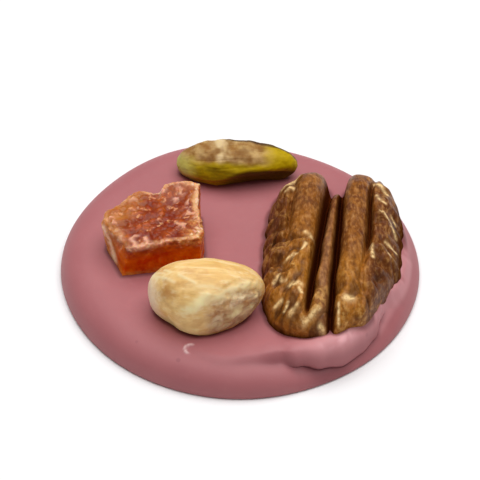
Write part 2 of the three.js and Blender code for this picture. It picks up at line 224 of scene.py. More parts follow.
def domed(share, power):
    """A quarter superellipse: 1 at the middle, falling to 0 where the share reaches 1."""
    return np.maximum(0, 1 - np.abs(share) ** power) ** (1 / power)


def bell(distance, width):
    return np.exp(-((distance / width) ** 2))


def smoothstep(value, low, high):
    share = np.clip((value - low) / (high - low), 0, 1)
    return share * share * (3 - 2 * share)


def lerp(start, end, share):
    return start + (end - start) * share


# How far apart the noises of two seeds are
ROUGH_SHIFT = np.array([17.3, 5.9, 11.7])
CELL_SHIFT = np.array([7.3, 3.9, 1.7])


def rough(points, size, seed, octaves=3):
    """Soft noise of about -1 to 1 at the points, whose coarsest lumps have the given size."""
    places = points.reshape(-1, 3) / size + seed * ROUGH_SHIFT
    values = [noise.fractal(p, 1.0, 2.0, octaves) for p in places.tolist()]
    return np.reshape(values, points.shape[:-1])


def creased(points, size, seed, octaves=3):
    """Noise from 0 to 1 that is rounded above and has narrow creases at 0."""
    return np.minimum(1, 2.5 * np.abs(rough(points, size, seed, octaves)))


def pebbled(points, size, seed, wander=0.25):
    """Rounded cells of about the given size: 1 in the middle of each, 0 in the creases between them."""
    places = points / size + wander * rough(points, size, seed, 2)[:, None]
    places = places + seed * CELL_SHIFT
    nearest = np.array([noise.voronoi(p)[0][:2] for p in places.tolist()])
    return np.clip(1.7 * (nearest[:, 1] - nearest[:, 0]), 0, 1)


def xyz(x, y, z=0):
    """Points from their coordinates."""
    return np.stack(np.broadcast_arrays(x, y, z), axis=-1)


def stroke(x, y, start, end):
    """The distance from each point to a straight stroke."""
    run = np.subtract(end, start)
    along = np.clip(((x - start[0]) * run[0] + (y - start[1]) * run[1]) / (run @ run), 0, 1)
    return np.hypot(x - start[0] - along * run[0], y - start[1] - along * run[1])


def stroked(x, y, strokes):
    """A mask of soft strokes, each of them its two ends and its width."""
    return np.max([bell(stroke(x, y, start, end), width) for start, end, width in strokes], axis=0)


def flattened(points, flat, wander=0):
    """The points with what stands proud of a flat pressed in, and how proud of it each one was."""
    facing = np.array(flat[0]) / np.linalg.norm(flat[0])
    proud = points @ facing - flat[1] + wander
    return points - facing * (flat[2] * np.maximum(proud, 0))[:, None], proud


def ring_points(reach, angle, height):
    """Points that go round the middle of the disc, at a reach from it and a height."""
    radians = np.radians(angle)
    return xyz(reach * np.cos(radians), reach * np.sin(radians), height)


def ring_faces(rings, sides):
    """Quads between rings of points that go round, one after the other."""
    ring, side = np.meshgrid(np.arange(rings - 1), np.arange(sides), indexing="ij")
    after = (side + 1) % sides
    here, beyond = ring * sides, (ring + 1) * sides
    quads = [here + side, here + after, beyond + after, beyond + side]
    return np.stack(quads, axis=-1).reshape(-1, 4).tolist()


def cap_faces(first, sides, pole, turned):
    """Triangles from one ring of points to a pole."""
    side = np.arange(sides)
    ends = [first + side, first + (side + 1) % sides]
    if turned:
        ends.reverse()
    return np.stack([*ends, np.full(sides, pole)], axis=-1).tolist()


def closed_faces(rings, sides):
    """The faces of rings of points and of the two poles after them, one at either end."""
    last = rings * sides
    faces = ring_faces(rings, sides) + cap_faces(0, sides, last, True)
    return faces + cap_faces(last - sides, sides, last + 1, False)


def cube_grid(steps):
    """The points on the faces of a cube from -1 to 1, shared along its edges, and their quads."""
    ticks = np.linspace(-1, 1, steps + 1).tolist()
    numbers, faces = {}, []
    for axis, side, i, j in itertools.product(range(3), (-1, 1), range(steps), range(steps)):
        quad = []
        for a, b in [(i, j), (i + 1, j), (i + 1, j + 1), (i, j + 1)][::side]:
            point = (float(side), ticks[a], ticks[b])
            point = point[-axis:] + point[:-axis]
            quad.append(numbers.setdefault(point, len(numbers)))
        faces.append(quad)
    return np.array(list(numbers)), faces


def pressed(points, sink, place):
    """The points of a topping moved to where it is pressed into the disc."""
    x, y, turn, lift = place
    turned = Matrix.Rotation(math.radians(turn), 3, "Z") @ Matrix.Rotation(math.radians(-lift), 3, "Y")
    return points @ np.array(turned).T + (x, y, DISC_THICKNESS - sink)


def add_object(name, data):
    """A new object in the scene."""
    thing = bpy.data.objects.new(name, data)
    bpy.context.scene.collection.objects.link(thing)
    return thing


def add_piece(name, node, points, faces, masks, material):
    """A piece in the place of a node. Its masks are numbers at its points, which its material reads."""
    mesh = bpy.data.meshes.new(name)
    mesh.from_pydata((points * MM).tolist(), [], faces)
    for label, values in masks.items():
        mesh.attributes.new(label, "FLOAT", "POINT").data.foreach_set("value", values.astype(np.float32))
    mesh.shade_smooth()
    mesh.materials.append(material)
    piece = add_object(name, mesh)
    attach(piece, "root")
    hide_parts(node)
    return piece


# The pecan half: its form


def pecan_across(share, narrowed):
    kept = narrowed**PECAN_DRAW_POWER
    spread = (kept + (1 - kept) * np.abs(share) ** PECAN_DRAW_POWER) ** (1 / PECAN_DRAW_POWER)
    return share * narrowed / np.maximum(spread, 1e-9)


def pecan_lumps(x, y):
    lumps = 0
    for amount, along, across, phase in PECAN_LUMPS:
        lumps = lumps + amount * np.sin(along * y + across * x + phase)
    return lumps * smoothstep(np.abs(x), PECAN_LUMPS_START, PECAN_LUMPS_FULL)


def pecan_grooves(x, y, along, wander):
    """How deep the grooves are at each point, each of them a narrow cleft with sloping sides."""
    grooved = 0
    for number, (stem, tip, depth, width, start, full, left) in enumerate(PECAN_GROOVES):
        drift = GROOVE_WANDER[0] + GROOVE_WANDER[1] * number
        middle = lerp(stem, tip, (1 + along) / 2) + drift * wander
        cleft = GROOVE_CLEFT * bell(x - middle, width * (1 + GROOVE_WANDER[2] * wander))
        slopes = GROOVE_SLOPES * bell(x - middle, GROOVE_SLOPES_WIDTH * width)
        begun = lerp(GROOVE_BEFORE_START, 1, smoothstep(y, start, full))
        faded = lerp(1, left, smoothstep(along, GROOVE_FADES_FROM, GROOVE_FADED_AT))
        grooved = grooved + depth * (cleft + slopes) * begun * faded
    return grooved


def pecan_plan(share, along):
    """Where the nut's points lie in plan, at shares of its width and its length."""
    rounder = (share > 0) & (along < 0)
    narrowed = domed(along, np.where(rounder, PECAN_STEM_RIGHT_POWER, PECAN_PLAN_POWER))
    x = pecan_across(share, narrowed) * PECAN_WIDTH / 2
    notch = PECAN_NOTCH[1] * bell(x - PECAN_NOTCH[0], PECAN_NOTCH[2])
    slant = PECAN_SLANT[1] * np.maximum(x - PECAN_SLANT[0], 0)
    slant = slant - PECAN_CORNER[2] * bell(x - PECAN_CORNER[0], PECAN_CORNER[1])
    return x, along * (PECAN_LENGTH / 2 - np.where(along > 0, notch, slant))


def pecan_points():
    """The nut's points, ring by ring and then its two poles, how many rings and sides, and the masks."""
    top_steps, stations, under_steps = PECAN_STEPS
    along = -np.cos(np.pi * np.arange(1, stations) / stations)
    top_share = np.linspace(-1, 1, top_steps + 1)
    share = np.concatenate([top_share, np.linspace(1, -1, under_steps + 1)[1:-1]])
    is_top = np.arange(len(share)) <= top_steps
    share, along = np.meshgrid(share, along)
    is_top = np.broadcast_to(is_top, share.shape)
    x, y = pecan_plan(share, along)
    flat = xyz(x, y)
    grooved = pecan_grooves(x, y, along, rough(flat * (0.3, 1, 1), 5.0, 30, 2))
    relief, masks = pecan_relief(flat)
    crown = PECAN_HEIGHT * domed(share, PECAN_CROWN_POWER)
    crown = crown - PECAN_VALLEY[1] * bell(x - PECAN_VALLEY[0], PECAN_VALLEY[2])
    height = crown - grooved + pecan_lumps(x, y) + relief
    top = lerp(PECAN_RIM_LEVEL, np.maximum(height, PECAN_RIM_LEVEL), domed(along, PECAN_END_POWER))
    under = PECAN_RIM_LEVEL * smoothstep(np.maximum(np.abs(share), np.abs(along)), PECAN_FLAT, 1)
    z = np.where(is_top, top, under)
    tip = PECAN_LENGTH / 2 - PECAN_NOTCH[1]
    poles = [(0, -PECAN_LENGTH / 2, PECAN_RIM_LEVEL), (0, tip, PECAN_RIM_LEVEL)]
    points = np.concatenate([xyz(x, y, z).reshape(-1, 3), poles])
    masks = {label: values * is_top for label, values in masks.items()}
    masks.update(pecan_masks(x, y, z, grooved, is_top))
    return points, x.shape, {label: np.append(values, (0, 0)) for label, values in masks.items()}


# Creases that run across the sides of the nut, from end to end, and how deep they are
PECAN_CREASES = [
    ((-8.6, 1.2), (-6.2, -0.4), 0.5),
    ((-6.2, -0.4), (-3.4, -1.0), 0.4),
    ((-8.8, -4.6), (-5.4, -6.4), 0.5),
    ((-8.4, 6.0), (-6.6, 4.8), 0.35),
    ((7.4, -4.4), (5.4, -7.2), 0.4),
]
PECAN_CREASE_WIDTH = 0.3


def slanting(flat, side):
    """The points turned and drawn out, so that noise at them runs aslant, outwards from the middle."""
    x, y = flat[..., 0] * side, flat[..., 1]
    along, across = 0.5 * x - 0.87 * y, 0.87 * x + 0.5 * y
    return xyz(across, 0.4 * along)


def pecan_relief(flat):
    """The height of its wobble, knobs and creases, and masks of painted highlight on the knobs and of
    dark skin and painted shade in the creases.
    """
    x, y = flat[..., 0], flat[..., 1]
    on_left = smoothstep(-x, 2.0, 3.2)
    knobbly = np.clip(smoothstep(-y, 5.0, 10.5) + on_left * smoothstep(-y, -2.0, 3.0), 0, 1)
    sides = smoothstep(np.abs(x), 4.6, 6.2)
    right_lumps = creased(slanting(flat, 1), 1.7, 2, 2)
    lumps = np.where(x > 0, right_lumps, creased(slanting(flat, -1), 1.9, 3, 2))
    knobs = 0.5 + 0.6 * rough(flat * (1, 0.8, 1), 1.5, 31, 2)
    shaped = 0.35 * lumps + 0.65 * knobs
    amount = np.clip(0.85 * knobbly + 0.75 * sides, 0, 1)
    wobble = PECAN_WOBBLE * rough(flat, 4.5, 1, 2)
    fibres = PECAN_FIBRES * rough(flat * (1, 0.16, 1), 0.5, 4, 2)
    folds = 0
    for start, end, depth in PECAN_CREASES:
        folds = np.maximum(folds, depth * bell(stroke(x, y, start, end), PECAN_CREASE_WIDTH))
    relief = wobble + fibres + PECAN_KNOBS * amount * (shaped - 0.55) - folds
    masks = {
        # A painted highlight on the tops of the knobs
        "high": np.clip(amount * smoothstep(shaped, 0.5, 0.85), 0, 1),
        # Darker skin and painted shade in the creases between the knobs and along the folds
        "shaded_crease": np.clip(amount * (1 - smoothstep(shaped, 0.2, 0.5)) + 1.2 * folds, 0, 1),
    }
    return relief, masks


# Cream strokes where the skin is worn or has come off, and painted highlights on its knobs and ridges:
# both ends, across and along the nut, and width
PECAN_WEAR_AND_HIGHLIGHTS = [
    ((-7.0, 10.6), (-5.6, 11.9), 0.3), ((-6.2, 11.7), (-4.9, 12.4), 0.25),
    ((-6.4, 9.6), (-5.6, 9.9), 0.25), ((-3.5, -0.1), (-2.8, -0.5), 0.3),
    ((-5.8, -4.4), (-4.5, -3.9), 0.22), ((-3.9, -3.2), (-3.4, -2.2), 0.2),
    ((-4.9, -8.9), (-3.8, -9.2), 0.36), ((-3.9, -9.8), (-3.5, -10.4), 0.2),
    ((-7.2, -7.1), (-6.6, -6.5), 0.22), ((-6.3, -7.0), (-5.6, -8.2), 0.16),
    ((-6.8, -10.9), (-6.1, -10.7), 0.25), ((-4.8, -12.8), (-4.1, -12.1), 0.3),
    ((-5.6, -12.2), (-5.2, -11.4), 0.18), ((-3.1, -13.6), (-1.9, -13.0), 0.32),
    ((-1.9, -13.0), (-1.3, -12.2), 0.24), ((-1.1, -13.8), (-0.7, -14.0), 0.26),
    ((1.1, -11.6), (1.2, -13.6), 0.16), ((1.9, -11.0), (2.7, -11.0), 0.42),
    ((4.9, 11.7), (5.6, 10.7), 0.24), ((5.3, 11.2), (6.6, 9.8), 0.26),
    ((5.2, 8.2), (6.4, 6.9), 0.16), ((5.8, 4.9), (7.2, 4.3), 0.17),
    ((7.3, 3.6), (7.9, 2.8), 0.17), ((7.2, 6.2), (7.8, 5.2), 0.14),
    ((6.6, 0.2), (8.0, -0.3), 0.17), ((6.8, -1.4), (8.2, -1.9), 0.17),
    ((4.8, -1.2), (5.1, -3.6), 0.22),
]


def pecan_masks(x, y, z, grooved, is_top):
    """Colours of the skin's own, wear and painted highlights, and painted shade in the grooves, at the
    foot and on the sides.
    """
    low = 1 - smoothstep(z, PECAN_RIM_LEVEL + 0.5, PECAN_RIM_LEVEL + 1.7)
    shaded_right_edge = smoothstep(x, 7.3, 8.5)
    duller = np.maximum(0.6 * smoothstep(-y, 9.5, 11.5), 0.7 * smoothstep(-x, 6.3, 8.0))
    on_right = smoothstep(x, 0, 1)
    return {
        # Darker skin and painted shade in the grooves
        "shaded_groove": np.where(is_top, smoothstep(grooved, 0.6, 2.6), 0.6),
        "gold": smoothstep(-y, -2, 7) * (1 - smoothstep(x, 3.0, 5.0)) * (1 - duller),
        "dusk": smoothstep(x, 3.6, 5.2) * smoothstep(-y, 1.5, 5.0),
        "shade": smoothstep(-x, 5.0, 6.8) * (1 - smoothstep(-y, 3.0, 8.0)) + smoothstep(x, 4.4, 5.6),
        "wear_and_highlights": stroked(x, y, PECAN_WEAR_AND_HIGHLIGHTS) * is_top,
        # Painted shade at the foot of the nut, underneath it and down its right outer side
        "shaded_foot": np.where(is_top, np.maximum(low, 0.6 * shaded_right_edge), 1),
        "middle": bell(x + 0.8, 0.9) * is_top,
        "tip": smoothstep(y + 7 * on_right, 1.0, 7.0) * lerp(0.8, 1, on_right),
    }


def add_pecan(material):
    points, (stations, sides), masks = pecan_points()
    faces = closed_faces(stations, sides)
    points = pressed(points, PECAN_SINK, PECAN_PLACE)
    return add_piece("pecan_half_with_skin", "pecan_half", points, faces, masks, material)


# The kernels: their form


def kernel_points(kernel, ball):
    """The ball's points on the kernel, whose tip is at +X, before it is pressed in."""
    along = ball[:, 1]
    girth = np.hypot(ball[:, 0], ball[:, 2])
    around = np.arctan2(ball[:, 2], ball[:, 0])
    swell = 1 - kernel["taper"] * along
    for turns, amount, phase, twist in kernel["waves"]:
        swell = swell + amount * np.cos(turns * around + phase + twist * along)
    blunt = np.maximum(girth, 1e-9) ** (kernel["blunt"] - 1)
    x = along * kernel["length"] / 2
    y = -ball[:, 0] * blunt * kernel["width"] / 2 * swell - kernel["bow"] * (1 - along**2)
    z = ball[:, 2] * blunt * kernel["height"] / 2 * swell
    x = x + kernel["lean"] * (np.hypot(y, 1.2) - y) / 2
    return xyz(x, y, z)


def ball_grid(steps):
    """An even grid of points on a ball, from the grid of a cube, and its quads."""
    points, faces = cube_grid(steps)
    points = np.tan(points * math.pi / 4)
    return points / np.linalg.norm(points, axis=1)[:, None], faces


def outward_of(ball):
    """Which way is outward at each of the ball's points, once they lie on a kernel."""
    return xyz(ball[:, 1], -ball[:, 0], ball[:, 2])


# The flat that the shell left on the hazelnut: which way it faces, how far out it lies, how flat it is
# and how much it wanders
HAZELNUT_FLAT = ((0.47, -0.87, 0.03), 3.75, 0.45)
HAZELNUT_FLAT_WANDER = 0.3
# The dent in its side: the middle, width and depth
HAZELNUT_DENT = ((-5.2, -2.9, -1.4), 1.2, 0.7)
# The height of its relief: swells, fibres, the pits and the rim of the flat, and scratches
HAZELNUT_SWELLS = 0.15
HAZELNUT_FIBRES = 0.03
HAZELNUT_PITS = 0.27
HAZELNUT_RIM = 0.22
HAZELNUT_SCRATCH = 0.04
HAZELNUT_SCRATCH_WIDTH = 0.22
# Pale scratches on its blunt end, from end to end
HAZELNUT_SCRATCHES = [
    ((-6.3, 1.8), (-4.6, 0.1)), ((-5.8, 0.6), (-3.5, -1.7)), ((-6.4, 1.4), (-5.6, 0.2)),
    ((-2.8, -1.0), (-1.0, -2.5)), ((-4.6, 0.8), (-3.9, 0.0)),
]
# Where it is brown, and where it is chipped and pale: middle and size
HAZELNUT_BROWN = [
    ((-4.9, -2.2, 2.8), 1.0), ((1.0, -4.1, 0.8), 0.7), ((2.3, -3.8, -0.1), 0.8),
    ((4.4, -2.6, 0.8), 0.7), ((5.2, -2.9, 0.5), 0.9),
]
HAZELNUT_CHIPS = [
    ((3.4, -3.6, -0.5), 0.7), ((4.7, -2.8, -1.1), 0.8), ((5.9, -1.9, 0.6), 0.4),
    ((-0.8, -4.3, 2.8), 0.6), ((-2.1, -4.6, 1.9), 0.7), ((1.6, -4.1, -1.6), 0.6),
]


def spots(points, places):
    """A mask of ragged spots, each with its middle and size."""
    ragged = 1 + 0.6 * rough(points, 0.9, 37, 3)
    apart = [np.linalg.norm((points - middle) * (0.7, 1, 1), axis=1) / size for middle, size in places]
    return bell(np.min(apart, axis=0) * ragged, 1)


def add_hazelnut(ball, faces, material):
    whole = kernel_points(HAZELNUT, ball)
    points, proud = flattened(whole, HAZELNUT_FLAT, HAZELNUT_FLAT_WANDER * rough(whole, 3.0, 32, 3))
    below_ridge = proud - lerp(-0.2, 1.0, smoothstep(whole[:, 0], -0.5, 2.5))
    cut = smoothstep(below_ridge, 0.0, 0.8) * smoothstep(whole[:, 0], -0.8, 1.4)
    dent = HAZELNUT_DENT[2] * bell(np.linalg.norm(points - HAZELNUT_DENT[0], axis=1), HAZELNUT_DENT[1])
    x, y, z = points.T
    scratches = [(start, end, HAZELNUT_SCRATCH_WIDTH) for start, end in HAZELNUT_SCRATCHES]
    scratched = stroked(x, y, scratches) * smoothstep(z, 0.5, 1.5)
    rim = bell(below_ridge, 0.45) * smoothstep(rough(points, 1.5, 36, 2), -0.7, 0.2)
    rim = rim * smoothstep(z, 0.8, 2.4)
    swells = HAZELNUT_SWELLS * rough(points, 3.5, 5, 3)
    fibres = HAZELNUT_FIBRES * rough(points * (0.4, 1, 1), 0.9, 7, 2)
    pits = HAZELNUT_PITS * cut * rough(points, 0.9, 6, 3)
    relief = swells + fibres + pits + HAZELNUT_RIM * rim + HAZELNUT_SCRATCH * scratched - dent
    points = points + outward_of(ball) * relief[:, None]
    masks = {
        "chip": spots(points, HAZELNUT_CHIPS),
        "brown": spots(points, HAZELNUT_BROWN),
        "cut": cut,
        "rim": rim,
        "scratch": scratched,
        "end": smoothstep(-x, 5.2, 7.0),
        "low": smoothstep(-z, -1.0, 2.5) * smoothstep(-x, -1.0, 3.0),
        # Painted shade on the lower part of the flat, towards the chocolate
        "shaded_foot": cut * smoothstep(0.1 * x - z, -1.6, 2.0),
    }
    points = pressed(points, HAZELNUT_SINK - HAZELNUT["height"] / 2, HAZELNUT_PLACE)
    return add_piece("hazelnut_kernel", "hazelnut", points, faces, masks, material)


# The flat top of the pistachio kernel, and how far its raised end is hollowed underneath
PISTACHIO_FLAT = ((0.05, 0.1, 1.0), 2.5, 0.75)
PISTACHIO_HOLLOW = 1.5
# The height of its relief
PISTACHIO_SWELLS = 0.14
PISTACHIO_WRINKLES = 0.14
PISTACHIO_FURROWS = 0.05
# Along the kernel: where across it the dark back begins, and how low its green band reaches on the near
# side
PISTACHIO_BACK = [(-2.0, 1.3), (1.5, 0.8), (4.0, 0.2), (6.5, -0.2)]
PISTACHIO_BAND = [(-3.3, 1.0), (-1.3, 0.65), (0.4, -0.1), (2.0, -0.5), (3.9, -0.3), (6.4, 0.7)]


def add_pistachio(ball, faces, material):
    points, _ = flattened(kernel_points(PISTACHIO, ball), PISTACHIO_FLAT)
    x, y, z = points.T
    raised = smoothstep(x, -3.3, 1.5)
    under = smoothstep(-z, lerp(-0.2, -1.5, raised), 0.8) * smoothstep(-y, 0.5, 2.8)
    points = points + xyz(0, PISTACHIO_HOLLOW * under * lerp(0.4, 1, raised))
    edge = 0.45 * rough(points, 2.6, 8, 2)
    plateau = smoothstep(z + 0.35 * y + edge + 0.05 * x, 0.6, 1.5)
    skin = plateau * (1 - smoothstep(x + 2.0 * edge, 2.6, 5.4))
    wrinkles = rough(points * (0.8, 0.5, 1), 1.4, 9, 3)
    furrows = creased(points * (0.15, 1, 1), 1.1, 11, 2) - 0.5
    relief = PISTACHIO_SWELLS * rough(points, 2.4, 10, 3)
    relief = relief + PISTACHIO_WRINKLES * skin * wrinkles + PISTACHIO_FURROWS * furrows
    pale = bell(x + 1.9 + 1.3 * edge + 1.1 * wrinkles, 0.75) * smoothstep(wrinkles, -0.5, 0.2)
    low = -z - 0.4 * y + 0.3 * edge - np.interp(x, *zip(*PISTACHIO_BAND))
    behind = y + 0.25 * edge - 0.2 * z - np.interp(x, *zip(*PISTACHIO_BACK))
    masks = {
        "skin": skin,
        "wrinkle": smoothstep(-wrinkles, 0.0, 0.5),
        "pale": pale * plateau,
        "tip": smoothstep(x, 0, 4.5) * smoothstep(z, -1.2, 0.6),
        "end": smoothstep(-x, 4.5, 7),
        # Painted shade on the underside, strongest under the raised end
        "under": smoothstep(low, -0.1, lerp(1.6, 0.6, raised)) * lerp(0.1, 1, raised),
        "ridge": smoothstep(behind, 0, 0.5),
    }
    points = points + outward_of(ball) * relief[:, None]
    points = pressed(points, PISTACHIO_SINK - PISTACHIO["height"] / 2, PISTACHIO_PLACE)
    return add_piece("pistachio_kernel", "pistachio", points, faces, masks, material)


# The cube of candied fruit: its form

# The height of its relief, and of the sugar on it without a crust and with one
CUBE_WRINKLES = 0.3
CUBE_FOLD_HEIGHT = 0.2
CUBE_LUMPS = 0.16
CUBE_CELLS = 0.12
CUBE_SUGAR = (0.07, 0.2)
# How far its folds wander
CUBE_FOLD_WANDER = 0.35
# A curled wrinkle on its top near the front edge, and the angle at which it is open
CUBE_CURL = dict(middle=(-2.1, -4.2), radius=0.85, width=0.3, height=0.25, opens=70)
# A pale sugared line down its left side with a painted highlight on it, from end to end along and up
CUBE_LEFT_LINE = ((-1.0, 4.8), (-3.4, 1.8))
# Pale folds that stand up on its top, some of them painted highlights on raised spots: both ends and
# width
CUBE_FOLDS_AND_HIGHLIGHTS = [
    ((2.6, -1.3), (3.4, -1.7), 0.35), ((4.3, -2.3), (4.9, -3.1), 0.25),
    ((2.7, 4.5), (3.1, 3.9), 0.25), ((-2.6, 1.2), (-2.0, 1.5), 0.2),
    ((3.9, 2.7), (3.6, 0.9), 0.24), ((3.6, 0.9), (4.5, 0.4), 0.22),
    ((0.6, 4.6), (0.8, 3.2), 0.26), ((2.3, 3.1), (2.4, 3.0), 0.4),
    ((-5.8, -0.2), (-5.3, -1.2), 0.28), ((0.3, -0.4), (0.7, -0.7), 0.2),
    ((-3.6, -5.1), (-1.0, -4.9), 0.3), ((-1.0, -4.9), (1.6, -4.3), 0.26),
    ((-4.0, 2.6), (-2.8, 3.2), 0.28),
]


def cube_form(grid):
    """The points of the grid on the cube, how far out each is in plan, and how high."""
    across, up = np.abs(grid[:, :2]).max(axis=1), grid[:, 2]
    norm = (across**CUBE_ROUNDNESS + np.abs(up) ** CUBE_ROUNDNESS) ** (1 / CUBE_ROUNDNESS)
    out, up = across / norm, (up / norm + 1) / 2
    square = grid[:, :2] / np.maximum(across, 1e-9)[:, None]
    right, near = square[:, 0] >= np.abs(square[:, 1]), -square[:, 1] >= np.abs(square[:, 0])
    left = -square[:, 0] >= np.abs(square[:, 1])
    round_it = np.where(right, 3 - square[:, 1], 1 + square[:, 0])
    round_it = np.where(near, 5 - square[:, 0], round_it)
    round_it = np.where(left & ~near, 7 + square[:, 1], round_it) % 8 / 8
    corners = np.array([*CUBE_CORNERS, CUBE_CORNERS[0]], float)
    gone = np.cumsum(np.hypot(*np.diff(corners[:, :2], axis=0).T))
    gone = np.concatenate([[0], gone / gone[-1]])
    top_x, top_y, top_z, foot_x, foot_y = (np.interp(round_it, gone, column) for column in corners.T)
    x = lerp(foot_x, top_x, up) * out
    y = lerp(foot_y, top_y, up) * out
    middle = CUBE_HEIGHT - CUBE_DIMPLE
    z = lerp(middle, top_z, out**CUBE_RIM_POWER) * up
    return xyz(x, y, z), out, up


def cube_curl(x, y):
    """A mask of the curled wrinkle, which goes most of the way round."""
    dx, dy = x - CUBE_CURL["middle"][0], y - CUBE_CURL["middle"][1]
    from_opening = np.abs(np.degrees(np.arctan2(dy, dx)) % 360 - CUBE_CURL["opens"])
    line = bell(np.hypot(dx, dy) - CUBE_CURL["radius"], CUBE_CURL["width"])
    return line * smoothstep(from_opening, 0, 50)


def cube_crust(x, y, z, out, up, ragged):
    """A mask of the sugar crust, which is along the upper rim, on the right end and on the peak."""
    on_rim = smoothstep(out + ragged, 0.78, 0.95) * smoothstep(up + ragged, 0.86, 0.96)
    on_rim = on_rim * lerp(0.3, 0.9, smoothstep(x, -2, 3))
    right_end = smoothstep(x - 0.4 * y + 12 * ragged, 3.6, 6.4) * smoothstep(up, 0.7, 0.95)
    peak = smoothstep(z, 6.5, 7.3) * smoothstep(ragged, -0.08, 0.05)
    return np.max([on_rim, right_end, 0.8 * peak], axis=0)


def add_cube(material):
    grid, faces = cube_grid(CUBE_STEPS)
    points, out, up = cube_form(grid)
    x, y, z = points.T
    outward = grid / np.linalg.norm(grid, axis=1)[:, None]
    on_top = smoothstep(up, 0.6, 0.9)
    ragged = 0.1 * rough(points, 1.6, 33, 2)
    crust = cube_crust(x, y, z, out, up, ragged)
    bent_x = x + CUBE_FOLD_WANDER * rough(points, 1.0, 39, 2)
    bent_y = y + CUBE_FOLD_WANDER * rough(points, 1.0, 40, 2)
    folds_and_highlights = stroked(bent_x, bent_y, CUBE_FOLDS_AND_HIGHLIGHTS) * smoothstep(up, 0.85, 0.95)
    folds_and_highlights = folds_and_highlights * smoothstep(rough(points, 0.7, 42, 2), -0.35, 0.15)
    curl = cube_curl(bent_x, bent_y) * smoothstep(up, 0.85, 0.97)
    wrinkles = rough(points * (1, 0.7, 1), 2.4, 12, 3)
    sugar = rough(points, 0.7, 13, 3)
    cells = pebbled(points, 0.9, 43) * on_top
    relief = CUBE_WRINKLES * wrinkles * smoothstep(up, 0.1, 0.7) + lerp(*CUBE_SUGAR, crust) * sugar
    relief = relief + CUBE_FOLD_HEIGHT * folds_and_highlights + CUBE_LUMPS * rough(points, 1.1, 38, 3) * on_top
    relief = relief + CUBE_CELLS * cells + CUBE_CURL["height"] * curl
    edge = smoothstep(np.minimum(out, 2 * up - 1) + 0.4 * ragged, 0.84, 0.91)
    foot_edge = bell(up - 0.28, 0.06) * smoothstep(out, 0.9, 1.0)
    left_line = bell(stroke(y + 4 * ragged, z, *CUBE_LEFT_LINE), 0.5) * smoothstep(-x, 4.2, 5.2)
    # Painted glints on the sugar crust, and a painted highlight along the left line
    painted_glint = np.maximum(crust * smoothstep(sugar, 0.25, 0.5), left_line * smoothstep(sugar, -0.6, 0.1))
    masks = {
        "crust": np.clip(crust + 0.7 * foot_edge, 0, 1),
        # The curl and the folds are pale, partly as painted highlights
        "curl": np.maximum(curl, folds_and_highlights),
        "edge": np.maximum(edge * lerp(0.35, 1, smoothstep(x + 0.4 * y, -2, 3)), left_line),
        "seam": (1 - smoothstep(cells, 0.1, 0.6)) * smoothstep(up, 0.8, 0.92) * (1 - 0.6 * crust),
        # Darker fruit and painted shade in the hollows of the wrinkles
        "shaded_hollow": smoothstep(-wrinkles, -0.1, 0.5) * on_top * (1 - crust),
        "painted_glint": painted_glint,
        # How low on the cube a point is; the material paints a glow there
        "low": 1 - up,
        # The left side, which takes a golden tone with painted light
        "left": smoothstep(0.5 * y - x, 2.0, 4.6),
    }
    points = pressed(points + outward * relief[:, None], CUBE_SINK, CUBE_PLACE)
    name = "candied_fruit_piece"
    return add_piece(name, "candied_fruit_cube", points, faces, masks, material)


# The disc of ruby chocolate: its form


def rim_radius(angle):
    radius = DISC_DIAMETER / 2
    for at, amount, width in RIM_SWELLS:
        radius = radius + amount * bell((angle - at + 180) % 360 - 180, width)
    return radius


def pour_edge(angle):
    """The inset, thinner share and roll height at each angle, eased between the rows."""
    stops = np.array(POUR_EDGE, float)
    after = np.clip(np.searchsorted(stops[:, 0], angle, side="right"), 1, len(stops) - 1)
    share = smoothstep(angle, stops[after - 1, 0], stops[after, 0])
    return lerp(stops[after - 1, 1:], stops[after, 1:], share[:, None]).T


def shoulder(inside):
    return domed(1 - np.minimum(1, inside / SHOULDER_WIDTH), SHOULDER_POWER)


def upper_height(inside, inset, roll, sharp):
    """The height of the upper pour. Where it ends in a sharp lip, it keeps most of its thickness."""
    full = lerp(shoulder(inside), 1, LIP_FULLNESS * sharp)
    return DISC_THICKNESS * full + roll * bell(inside - inset - ROLL_INSET, ROLL_WIDTH)


def chocolate_rows(angle, rim):
    """How far inside the rim and how high each row of points lies, from the rim to the middle.

    The rows go over the ring, up the edge of the upper pour and over it. That edge is a soft step, and a
    rounded lip with a crease under it where there is a roll.
    """
    inset, thinner, roll = pour_edge(angle)
    inset = inset + CREASE_WANDER * rough(ring_points(1, angle, 0), 0.12, 34, 2)
    sharp = smoothstep(roll, LIP_FROM, LIP_FULL)
    ring_rows, edge_rows, pour_rows = DISC_ROWS
    share = np.arange(edge_rows)[:, None] / edge_rows
    turn = np.radians(lerp(LIP_UNDERCUT, 90, share))
    soft_inside = inset + POUR_EDGE_EASE * (2 * share - 1)
    out = np.maximum(np.cos(turn), 0) ** (2 / LIP_POWER)
    up = np.sign(turn) * np.abs(np.sin(turn)) ** (2 / LIP_POWER)
    inside = lerp(soft_inside, inset + LIP_ROUND * (1 - out), sharp)
    risen = (up - up[0]) / (1 - up[0])
    risen = lerp(smoothstep(share, 0, 1), risen, sharp)
    lower = DISC_THICKNESS * (1 - thinner)
    edge = lerp(lower * shoulder(inside), upper_height(inside, inset, roll, sharp), risen)
    ring_inside = inside[0] * (np.arange(ring_rows)[:, None] / ring_rows) ** RIM_CROWDING
    end = inset + lerp(POUR_EDGE_EASE, LIP_ROUND, sharp)
    pour_inside = lerp(end, rim, np.arange(pour_rows)[:, None] / pour_rows)
    pour = upper_height(pour_inside, inset, roll, sharp)
    ring = lower * shoulder(ring_inside)
    return np.concatenate([ring_inside, inside, pour_inside]), np.concatenate([ring, edge, pour])


